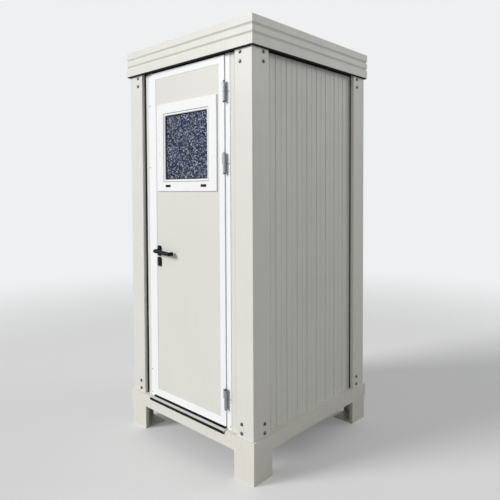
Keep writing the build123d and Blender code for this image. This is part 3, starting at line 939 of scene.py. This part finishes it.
@dataclass
class DoorFrame:
    """The door's jambs, head and sill, with their screw caps, seal and strike plate, and black pieces of painted
    shade on the sill and in the strike's openings.
    """

    cap_radius: float = 5.5 * MM
    cap_height: float = 1.8 * MM
    cap_sides: int = 20
    cap_heights: tuple[float, ...] = (2132 * MM, 1735 * MM, 410 * MM, 257 * MM)
    cap_from_edge: float = 9 * MM
    seal_width: float = 8 * MM
    seal_depth: float = 4.3 * MM
    seal_and_shade_bevel: float = 1.8 * MM
    seal_margin: float = 1.5 * MM
    leaf_gap: float = 5 * MM
    strike_height: float = 190 * MM
    strike_width: float = 24 * MM
    strike_sheet: float = 0.6 * MM
    strike_below_lever: float = 70 * MM
    opening_width: float = 13 * MM
    opening_height: float = 34 * MM
    opening_offsets: tuple[float, ...] = (55 * MM, -45 * MM)
    cup_sheet: float = 0.45 * MM
    cup_rim: float = 0.6 * MM
    cutter_depth: float = 8 * MM
    lip_drop: float = 9.5 * MM
    lip_rise: float = 6 * MM
    lip_sheet: float = 3 * MM
    lip_inset: float = 4 * MM
    lip_bevel: float = 1 * MM
    threshold_width: float = 14 * MM
    threshold_sheet: float = 1.3 * MM
    threshold_out: float = 10 * MM
    threshold_bevel: float = 0.6 * MM
    sill_top: float = 10 * MM

    def add_caps(self) -> None:
        """Cover the frame's fixing screws on both jambs."""
        low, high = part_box("door_jamb_right")
        middle = high.x - self.cap_from_edge
        front = Facing.FRONT.outward()
        places = [
            facing_out(front, Vector((sign * middle, low.y, height)))
            for sign in (-1, 1) for height in self.cap_heights]
        cap = add_cap(self.cap_radius, self.cap_height, self.cap_sides)
        fasten(copies(cap, places, "jamb_screw_caps"), "jamb_screw_caps", Body.CABIN, SCREW_CAP)

    def add_seal_and_shade_ring(self) -> None:
        """Lay the rubber seal against which the leaf shuts."""
        rim_low, rim_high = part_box("leaf_rim")
        stop = rim_high.y + self.leaf_gap
        low = Vector((rim_low.x + self.seal_margin, stop, rim_low.z - self.seal_margin))
        high = Vector((rim_high.x - self.seal_margin, stop, rim_high.z - self.seal_margin))
        seal_and_shade_ring = add_ring(low, high, self.seal_width, self.seal_depth, self.seal_and_shade_bevel)
        smooth(seal_and_shade_ring, 40.0)
        fasten(seal_and_shade_ring, "door_seal", Body.CABIN, BLACK_RUBBER_AND_SHADE)

    def model_shade_cup(self) -> bpy.types.Object:
        """Model one shallow black cup whose black is painted shade for an opening's depth, facing up, and return
        it.
        """
        shade_cup = add_block(
            Vector((0, 0, self.cup_sheet / 2)),
            Vector((self.opening_width, self.opening_height, self.cup_sheet)))
        with editing(shade_cup):
            pick_faces(shade_cup, lambda centre, normal: normal.z > 0.9)
            bpy.ops.mesh.inset(thickness=self.cup_rim)
            bpy.ops.mesh.extrude_region_move(
                TRANSFORM_OT_translate={"value": (0, 0, -self.cup_sheet * 0.7)})
        smooth(shade_cup)
        return shade_cup

    def add_strike(self) -> None:
        """Screw the strike plate to the left jamb, with openings for the latch and the bolt."""
        rim_low, rim_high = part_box("leaf_rim")
        face = rim_low.x - self.leaf_gap
        depth = (rim_low.y + rim_high.y) / 2
        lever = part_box("outer_roses")[1].z
        centre = Vector((face + self.strike_sheet / 2, depth, lever - self.strike_below_lever))
        plate = add_block(centre, Vector((self.strike_sheet, self.strike_width, self.strike_height)))
        places = []
        for offset in self.opening_offsets:
            hole = add_block(
                centre + UP * offset, Vector((self.cutter_depth, self.opening_width, self.opening_height)))
            apply_modifier(plate, "BOOLEAN", {"object": hole, "operation": "DIFFERENCE", "solver": "EXACT"})
            bpy.data.objects.remove(hole)
            places.append(facing_out(Facing.RIGHT.outward(), Vector((face, depth, centre.z + offset))))
        fasten(plate, "strike_plate", Body.CABIN, PLATE_STEEL)
        # The cups' black is painted shade for the depth of the openings.
        fasten(copies(self.model_shade_cup(), places, "strike_shade_cups"), "strike_shade_cups", Body.CABIN, BLACK_CAPS_AND_SHADE)

    def add_sill_shade_lip(self) -> None:
        """Clip a black lip over the sill's nose, down against the base frame: painted shade, a black piece that
        draws the deep shade under the nose.
        """
        low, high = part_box("door_sill")
        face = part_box("base_beam_front")[0].y
        foot, top = low.z - self.lip_drop, low.z + self.lip_rise
        centre = Vector((0.0, low.y - self.lip_sheet / 2, (foot + top) / 2))
        width = high.x - low.x - 2 * self.lip_inset
        # Painted shade: this black strip draws the deep shade under the sill's nose.
        shade_lip = add_block(centre, Vector((width, self.lip_sheet, top - foot)))
        with editing(shade_lip):
            bpy.ops.mesh.select_all(action="SELECT")
            bpy.ops.mesh.bisect(plane_co=(0, 0, low.z), plane_no=(0, 0, 1))
            pick_faces(shade_lip, lambda centre, normal: normal.y > 0.9 and centre.z < low.z)
            bpy.ops.mesh.extrude_region_move(TRANSFORM_OT_translate={"value": (0, face - low.y, 0)})
            front = low.y - self.lip_sheet + HAIR
            pick_edges(shade_lip, lambda a, b: (
                max(a.y, b.y) < front and abs(a.z - b.z) < SAME and abs(a.z - low.z) > MM))
            bpy.ops.mesh.bevel(offset=self.lip_bevel, segments=3, affect="EDGES")
        smooth(shade_lip)
        fasten(shade_lip, "sill_shade_lip", Body.CABIN, BLACK_RUBBER_AND_SHADE)

    def add_threshold_shade_strip(self) -> None:
        """Lay a black strip on the sill under the leaf's front edge: painted shade that widens the dark gap line
        under the leaf.
        """
        rim_low, rim_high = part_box("leaf_rim")
        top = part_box("door_sill")[0].z + self.sill_top
        middle = rim_low.y - self.threshold_out + self.threshold_width / 2
        # Painted shade: the black strip widens the dark line of the gap under the leaf.
        strip = add_block(
            Vector((0.0, middle, top + self.threshold_sheet / 2)),
            Vector((rim_high.x - rim_low.x, self.threshold_width, self.threshold_sheet)))
        crown = top + self.threshold_sheet - HAIR
        round_edges(strip, lambda a, b: min(a.z, b.z) > crown, self.threshold_bevel, 2)
        fasten(strip, "threshold_shade_strip", Body.CABIN, BLACK_RUBBER_AND_SHADE)

    def build(self) -> None:
        """Dress the frame and add its small parts."""
        dress(DOOR_COATING, ["door_jamb_left", "door_jamb_right", "door_head"])
        dress(SILL_METAL, ["door_sill"])
        self.add_caps()
        self.add_seal_and_shade_ring()
        self.add_strike()
        self.add_sill_shade_lip()
        self.add_threshold_shade_strip()


@dataclass
class DoorLeaf:
    """The leaf's rim and panel, with the lock's face plate and latch in its edge."""

    plate_height: float = 236 * MM
    plate_width: float = 20 * MM
    plate_proud: float = 0.8 * MM
    plate_below_lever: float = 70 * MM
    plate_sunk: float = 2 * MM
    latch_reach: float = 3.0 * MM
    latch_width: float = 11 * MM
    latch_height: float = 30 * MM
    latch_bevel: float = 2.4 * MM
    latch_above_centre: float = 55 * MM
    sweep_height: float = 6.0 * MM
    sweep_depth: float = 5.0 * MM
    sweep_inset: float = 3.0 * MM
    sweep_back: float = 0.5 * MM
    sweep_bevel: float = 1.5 * MM

    def add_face_plate(self) -> None:
        """Set the lock's face plate into the leaf's closing edge, with its latch showing."""
        low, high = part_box("leaf_rim")
        depth = (low.y + high.y) / 2
        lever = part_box("outer_roses")[1].z
        centre = Vector((
            low.x - self.plate_proud / 2 + self.plate_sunk / 2, depth, lever - self.plate_below_lever))
        thickness = self.plate_proud + self.plate_sunk
        plate = add_block(centre, Vector((thickness, self.plate_width, self.plate_height)))
        apply_modifier(plate, "BEVEL", {"width": 0.3 * MM, "segments": 2})
        smooth(plate)
        fasten(plate, "lock_face_plate", Body.DOOR, PLATE_STEEL)
        nose = Vector((low.x - self.latch_reach / 2, depth, centre.z + self.latch_above_centre))
        latch = add_block(nose, Vector((self.latch_reach, self.latch_width, self.latch_height)))
        tip = low.x - self.latch_reach + HAIR
        round_edges(
            latch, lambda a, b: max(a.x, b.x) < tip and abs(a.y - b.y) < SAME and a.y > depth,
            self.latch_bevel, 3)
        fasten(latch, "lock_latch", Body.DOOR, PLATE_STEEL)

    def add_sweep(self) -> None:
        """Hang a black rubber sweep under the leaf's front edge, clear of the sill."""
        low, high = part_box("leaf_rim")
        centre = Vector((0.0, low.y + self.sweep_back + self.sweep_depth / 2, low.z - self.sweep_height / 2))
        width = high.x - low.x - 2 * self.sweep_inset
        sweep = add_block(centre, Vector((width, self.sweep_depth, self.sweep_height)))
        foot = low.z - self.sweep_height + HAIR
        round_edges(
            sweep, lambda a, b: max(a.z, b.z) < foot and abs(a.x - b.x) > SAME, self.sweep_bevel, 4)
        fasten(sweep, "leaf_sweep", Body.DOOR, BLACK_RUBBER_AND_SHADE)

    def build(self) -> None:
        """Dress the leaf and add the lock's edge parts and the sweep."""
        dress(DOOR_COATING, ["leaf_rim"])
        dress(PANEL_COATING, ["leaf_panel"])
        self.add_face_plate()
        self.add_sweep()


@dataclass
class DoorWindow:
    """The leaf's window: frame, bead, two panes with a spacer, gaskets and drain caps."""

    pane: float = 4 * MM
    cell: float = 10 * MM
    relief: float = 1.5 * MM
    divisions: int = 270
    spacer_width: float = 10 * MM
    bead: float = 15 * MM
    gasket_width: float = 5.5 * MM
    gasket_depth: float = 1.8 * MM
    # The grey ring round the bead: painted shade for the step between bead and frame.
    shade_line_width: float = 3.2 * MM
    shade_line_depth: float = 0.4 * MM
    cap_length: float = 48 * MM
    cap_height: float = 15 * MM
    cap_reach: float = 3.6 * MM
    cap_across: float = 166 * MM
    cap_above_edge: float = 34 * MM

    def add_outer_pane(self) -> None:
        """Make the outer pane, with its hammered face to the front."""
        low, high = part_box("window_glass")
        bpy.ops.object.select_all(action="DESELECT")
        bpy.ops.mesh.primitive_grid_add(
            x_subdivisions=self.divisions, y_subdivisions=self.divisions, size=1.0,
            location=((low.x + high.x) / 2, low.y + self.relief, (low.z + high.z) / 2),
            rotation=(math.pi / 2, 0, 0))
        pane = bpy.context.object
        pane.scale = (high.x - low.x, high.z - low.z, 1.0)
        bring_home(pane)
        hammer = bpy.data.textures.new("hammered_relief", "VORONOI")
        hammer.noise_scale = self.cell
        hammer.distance_metric = "DISTANCE_SQUARED"
        apply_modifier(pane, "DISPLACE", {
            "texture": hammer, "texture_coords": "LOCAL", "direction": "NORMAL",
            "strength": self.relief, "mid_level": 0.0})
        with editing(pane):
            bpy.ops.mesh.select_mode(type="EDGE")
            bpy.ops.mesh.select_non_manifold()
            bpy.ops.mesh.extrude_region_move(TRANSFORM_OT_translate={"value": (0, self.pane, 0)})
            bpy.ops.transform.resize(value=(1, 0, 1), center_override=(0, low.y + self.pane, 0))
            bpy.ops.mesh.edge_face_add()
            bpy.ops.mesh.select_all(action="SELECT")
            bpy.ops.mesh.normals_make_consistent(inside=False)
        smooth(pane, 60.0)
        fasten(pane, "hammered_pane", Body.DOOR, HAMMERED_GLASS)
        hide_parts("window_glass")

    def add_inner_pane(self) -> None:
        """Make the plain inner pane and the spacer between the two."""
        low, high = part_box("window_glass")
        centre = (low + high) / 2
        centre.y = high.y - self.pane / 2
        pane = add_block(centre, Vector((high.x - low.x, self.pane, high.z - low.z)))
        apply_modifier(pane, "BEVEL", {"width": 0.4 * MM, "segments": 2})
        smooth(pane)
        fasten(pane, "inner_pane", Body.DOOR, CLEAR_GLASS)
        back = high.y - self.pane
        spacer = add_ring(
            Vector((low.x, back, low.z)), Vector((high.x, back, high.z)),
            self.spacer_width, high.y - low.y - 2 * self.pane, 0.5 * MM)
        smooth(spacer)
        fasten(spacer, "pane_spacer", Body.DOOR, SILL_METAL)

    def add_gaskets(self) -> None:
        """Lay the black glazing gaskets round the glass, in front and behind."""
        low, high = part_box("window_glass")
        bead_low, bead_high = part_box("window_bead")
        planes = {"outer_glazing_gasket": low.y, "inner_glazing_gasket": high.y + self.gasket_depth}
        for name, plane in planes.items():
            gasket = add_ring(
                Vector((bead_low.x + self.bead, plane, bead_low.z + self.bead)),
                Vector((bead_high.x - self.bead, plane, bead_high.z - self.bead)),
                self.gasket_width, self.gasket_depth, 0.5 * MM)
            smooth(gasket)
            fasten(gasket, name, Body.DOOR, BLACK_RUBBER_AND_SHADE)

    def add_bead_shade_line(self) -> None:
        """Lay the grey ring that draws the shaded step between the bead and the frame as a thin line: painted
        shade, partly a joint line.
        """
        low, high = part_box("window_bead")
        shade_lip = add_ring(
            Vector((low.x, low.y, low.z)), Vector((high.x, low.y, high.z)),
            self.shade_line_width, self.shade_line_depth, 0.1 * MM)
        fasten(shade_lip, "bead_shade_line", Body.DOOR, BEAD_SHADE_LINE)

    def model_drain_cap(self) -> bpy.types.Object:
        """Model one drain cap, facing up with its slot towards -Y, and return it."""
        cap = add_block(Vector((0, 0, 0.6 * MM)), Vector((self.cap_length, self.cap_height, 1.2 * MM)))
        with editing(cap):
            pick_faces(cap, lambda centre, normal: normal.z > 0.9)
            bpy.ops.mesh.inset(thickness=1.4 * MM)
            bpy.ops.mesh.extrude_region_move(
                TRANSFORM_OT_translate={"value": (0, 0, self.cap_reach - 1.2 * MM)})
            bpy.ops.transform.resize(value=(0.94, 0.7, 1), center_override=(0, -self.cap_height / 2, 0))
            pick_faces(cap, lambda centre, normal: normal.y < -0.5 and centre.z > 1.3 * MM)
            bpy.ops.mesh.inset(thickness=0.5 * MM)
            bpy.ops.mesh.extrude_region_move(TRANSFORM_OT_translate={"value": (0, 2.2 * MM, 0)})
        apply_modifier(cap, "BEVEL", {"width": 0.3 * MM, "segments": 2, "limit_method": "ANGLE"})
        smooth(cap)
        return cap

    def add_drain_caps(self) -> None:
        """Clip the two drain caps to the bottom rail."""
        low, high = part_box("window_frame")
        height = low.z + self.cap_above_edge
        places = [
            facing_out(Facing.FRONT.outward(), Vector((sign * self.cap_across, low.y, height)))
            for sign in (-1, 1)]
        fasten(copies(self.model_drain_cap(), places, "drain_caps"), "drain_caps", Body.DOOR, BLACK_CAPS_AND_SHADE)

    def build(self) -> None:
        """Dress the window and add its panes, gaskets and caps."""
        dress(WINDOW_PLASTIC, ["window_frame", "window_bead"])
        self.add_outer_pane()
        self.add_inner_pane()
        self.add_gaskets()
        self.add_bead_shade_line()
        self.add_drain_caps()


@dataclass
class Hinges:
    """The three hinges, with a cap on each end of each knuckle."""

    cap_radius: float = 7.9 * MM
    cap_height: float = 6 * MM
    places: tuple[str, ...] = ("top", "middle", "bottom")
    axis: Vector = field(default_factory=lambda: Vector(frame["joints"][0]["pos_m"]))

    def build(self) -> None:
        """Dress the hinges and cap their ends."""
        for half in ("frame", "leaf"):
            dress(HINGE_METAL, [f"hinge_{place}_{half}_half" for place in self.places])
        at = Vector((self.axis.x, self.axis.y, 0.0))
        tops = [Matrix.Translation(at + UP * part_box(f"hinge_{p}_leaf_half")[1].z) for p in self.places]
        flip = Matrix.Rotation(math.pi, 4, "X")
        feet = [Matrix.Translation(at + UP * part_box(f"hinge_{p}_frame_half")[0].z) @ flip for p in self.places]
        for name, spots, body in (
                ("hinge_top_caps", tops, Body.DOOR), ("hinge_foot_caps", feet, Body.CABIN)):
            cap = add_cap(self.cap_radius, self.cap_height)
            fasten(copies(cap, spots, name), name, body, BLACK_CAPS_AND_SHADE)


@dataclass
class LockSet:
    """The lever, its cover plates and the lock cylinder with its keyway."""

    plug_radius: float = 6.4 * MM
    plug_proud: float = 0.7 * MM
    slot_width: float = 1.5 * MM
    slot_height: float = 8.5 * MM

    def model_plug(self) -> bpy.types.Object:
        """Model the cylinder's round plug with its keyway, facing up, and return it."""
        plug = add_round(Vector((0, 0, -1 * MM)), self.plug_radius, self.plug_proud + 1 * MM)
        slot = add_block(
            Vector((0, -0.8 * MM, self.plug_proud)), Vector((self.slot_width, self.slot_height, 3 * MM)))
        apply_modifier(plug, "BOOLEAN", {"object": slot, "operation": "DIFFERENCE", "solver": "EXACT"})
        bpy.data.objects.remove(slot)
        smooth(plug)
        return plug

    def build(self) -> None:
        """Dress the handle and the lock and add the two plugs."""
        dress(HANDLE_NYLON, ["lever", "outer_roses", "inner_roses"])
        dress(LOCK_COAT, ["lock_cylinder"])
        low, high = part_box("lock_cylinder")
        centre = Vector(((low.x + high.x) / 2, 0.0, high.z - (high.x - low.x) / 2))
        places = [
            facing_out(side.outward(), Vector((centre.x, y, centre.z)))
            for side, y in ((Facing.FRONT, low.y), (Facing.BACK, high.y))]
        fasten(copies(self.model_plug(), places, "lock_plugs"), "lock_plugs", Body.DOOR, LOCK_COAT)


@dataclass
class Roof:
    """The fascias, the roof deck, and a black ring of painted shade between the fascias and the posts."""

    sides: tuple[str, ...] = ("front", "right", "back", "left")
    shade_ring_height: float = 6 * MM
    shade_ring_inset: float = 2.5 * MM
    seal_and_shade_bevel: float = 1.2 * MM

    def add_seal_and_shade_ring(self) -> None:
        """Run a black ring round the posts, under the fascias' turned-in edges: painted shade for the fascias'
        shaded undersides and the shadow they cast on the posts.
        """
        reach = -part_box("roof_fascia_front")[0].y - self.shade_ring_inset
        post = -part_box("corner_post_front_right")[0].y
        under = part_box("roof_fascia_front")[0].z
        # Painted shade: a black ring where the fascias' undersides lie in shade and cast their shadow on the
        # posts.
        bpy.ops.object.select_all(action="DESELECT")
        bpy.ops.mesh.primitive_plane_add(size=2 * reach, location=(0, 0, under))
        seal_and_shade_ring = bring_home(bpy.context.object)
        with editing(seal_and_shade_ring):
            raise_ring(reach - post, (0, 0, -self.shade_ring_height))
            foot = under - self.shade_ring_height + HAIR
            rim = reach - HAIR
            pick_edges(seal_and_shade_ring, lambda a, b: max(a.z, b.z) < foot and min(
                max(abs(a.x), abs(a.y)), max(abs(b.x), abs(b.y))) > rim)
            bpy.ops.mesh.bevel(offset=self.seal_and_shade_bevel, segments=3, affect="EDGES")
        smooth(seal_and_shade_ring)
        fasten(seal_and_shade_ring, "fascia_shade_ring", Body.CABIN, BLACK_RUBBER_AND_SHADE)

    def build(self) -> None:
        """Dress the fascias and the deck and add the black ring of painted shade under them."""
        dress(FRAME_PAINT, [f"roof_fascia_{side}" for side in self.sides])
        dress(ROOF_METAL, ["roof_deck"])
        self.add_seal_and_shade_ring()


@dataclass
class Studio:
    """A plain pale floor and backdrop, soft lamps, and the camera at the photograph's place."""

    backdrop: str = "#eef0f1"
    floor_colour: str = "#ededed"
    floor_bounce: str = "#a4a4a4"
    floor_glow: float = 0.15
    floor_half: float = 40.0
    clear_radius: float = 2.6
    fade_radius: float = 7.0
    sky_level: float = 0.35
    key_level: float = 2.5
    key_from: Vector = field(default_factory=lambda: Vector((-0.457, -0.791, 0.407)))
    key_softness_degrees: float = 22.0
    fill_level: float = 0.45
    fill_from: Vector = field(default_factory=lambda: Vector((0.58, 0.74, 0.34)))
    fill_softness_degrees: float = 25.0
    eye: Vector = field(default_factory=lambda: Vector((2.3458, -2.4769, 1.5873)))
    yaw_degrees: float = 42.905
    pitch_degrees: float = -1.881
    roll_degrees: float = -0.239
    image_px: float = 500.0
    focal_px: float = 499.07
    centre_px: tuple[float, float] = (253.41, 206.30)
    sensor_mm: float = 36.0

    def lay_floor(self) -> None:
        """Lay a floor that shows the cabin's shadow and fades into the backdrop far away."""
        bpy.ops.object.select_all(action="DESELECT")
        bpy.ops.mesh.primitive_plane_add(size=2 * self.floor_half)
        floor = bpy.context.object
        floor.name = "studio_floor"
        made = bpy.data.materials.new("studio_floor")
        made.use_nodes = True
        tree = made.node_tree
        tree.nodes.clear()
        place = add_node(tree, "TexCoord").outputs["Object"]
        far = add_node(tree, "VectorMath", {0: place}, operation="LENGTH")
        fade = add_node(tree, "MapRange", {
            "Value": far.outputs["Value"], "From Min": self.clear_radius, "From Max": self.fade_radius,
            "To Min": self.floor_glow}, interpolation_type="SMOOTHSTEP")
        seen = self.seen_directly(tree)
        share = add_node(tree, "Math", {0: fade, 1: seen}, operation="MULTIPLY")
        shade = add_node(tree, "Mix", {
            0: seen, 6: linear(self.floor_bounce), 7: linear(self.floor_colour)}, data_type="RGBA")
        matt = add_node(tree, "BsdfPrincipled", {
            "Base Color": shade.outputs[2], "Roughness": 0.9, "Specular IOR Level": 0.1})
        glow = add_node(tree, "Emission", {"Color": linear(self.backdrop)})
        mixed = add_node(tree, "MixShader", {0: share, 1: matt, 2: glow})
        add_node(tree, "OutputMaterial", {"Surface": mixed})
        floor.data.materials.append(made)

    def seen_directly(self, tree: bpy.types.NodeTree) -> bpy.types.Node:
        """Add nodes that are 1 for what is seen directly, in a reflection or through glass."""
        path = add_node(tree, "LightPath")
        either = add_node(tree, "Math", {
            0: path.outputs["Is Camera Ray"], 1: path.outputs["Is Glossy Ray"]}, operation="MAXIMUM")
        return add_node(tree, "Math", {
            0: either, 1: path.outputs["Is Transmission Ray"]}, operation="MAXIMUM")

    def hang_sky(self) -> None:
        """Light the scene evenly from all round, with a pale backdrop where it is seen."""
        world = bpy.data.worlds.new("studio_world")
        world.use_nodes = True
        tree = world.node_tree
        tree.nodes.clear()
        light = add_node(tree, "Background", {"Color": (1.0, 1.0, 1.0, 1.0), "Strength": self.sky_level})
        shown = add_node(tree, "Background", {"Color": linear(self.backdrop), "Strength": 1.0})
        mixed = add_node(tree, "MixShader", {0: self.seen_directly(tree).outputs[0], 1: light, 2: shown})
        add_node(tree, "OutputWorld", {"Surface": mixed})
        bpy.context.scene.world = world

    def hang_lamp(self, name: str, source: Vector, level: float, softness_degrees: float) -> None:
        """Hang one soft lamp.

        Args:
            name: The lamp's name.
            source: The direction from the cabin to the lamp.
            level: The light that it gives on a face turned towards it.
            softness_degrees: How wide it looks from the cabin.
        """
        lamp = bpy.data.lights.new(name, "SUN")
        lamp.energy = level
        lamp.angle = math.radians(softness_degrees)
        hung = bpy.data.objects.new(name, lamp)
        hung.rotation_mode = "QUATERNION"
        hung.rotation_quaternion = source.to_track_quat("Z", "Y")
        bpy.context.scene.collection.objects.link(hung)

    def set_camera(self) -> None:
        """Stand the camera where the photograph was taken from."""
        lens = bpy.data.cameras.new("photo_camera")
        lens.sensor_fit = "HORIZONTAL"
        lens.sensor_width = self.sensor_mm
        lens.lens = self.sensor_mm * self.focal_px / self.image_px
        lens.shift_x = 0.5 - self.centre_px[0] / self.image_px
        lens.shift_y = self.centre_px[1] / self.image_px - 0.5
        camera = bpy.data.objects.new("photo_camera", lens)
        camera.matrix_world = (
            Matrix.Translation(self.eye)
            @ Matrix.Rotation(math.radians(self.yaw_degrees), 4, "Z")
            @ Matrix.Rotation(math.radians(90 + self.pitch_degrees), 4, "X")
            @ Matrix.Rotation(math.radians(self.roll_degrees), 4, "Z"))
        bpy.context.scene.collection.objects.link(camera)
        bpy.context.scene.camera = camera

    def build(self) -> None:
        """Set up the whole studio."""
        bpy.context.scene.view_settings.view_transform = "Standard"
        self.lay_floor()
        self.hang_sky()
        self.hang_lamp("key_lamp", self.key_from, self.key_level, self.key_softness_degrees)
        self.hang_lamp("fill_lamp", self.fill_from, self.fill_level, self.fill_softness_degrees)
        self.set_camera()


def main() -> None:
    """Build every sub-assembly and the studio."""
    logging.basicConfig(level=logging.INFO, format="%(name)s: %(message)s")
    parts = (
        Studio(), BaseFrame(), CornerPosts(), Walls(), DoorFrame(), DoorLeaf(), DoorWindow(), Hinges(),
        LockSet(), Roof())
    for part in parts:
        LOG.info("building %s", type(part).__name__)
        part.build()


if __name__ == "__main__":
    main()
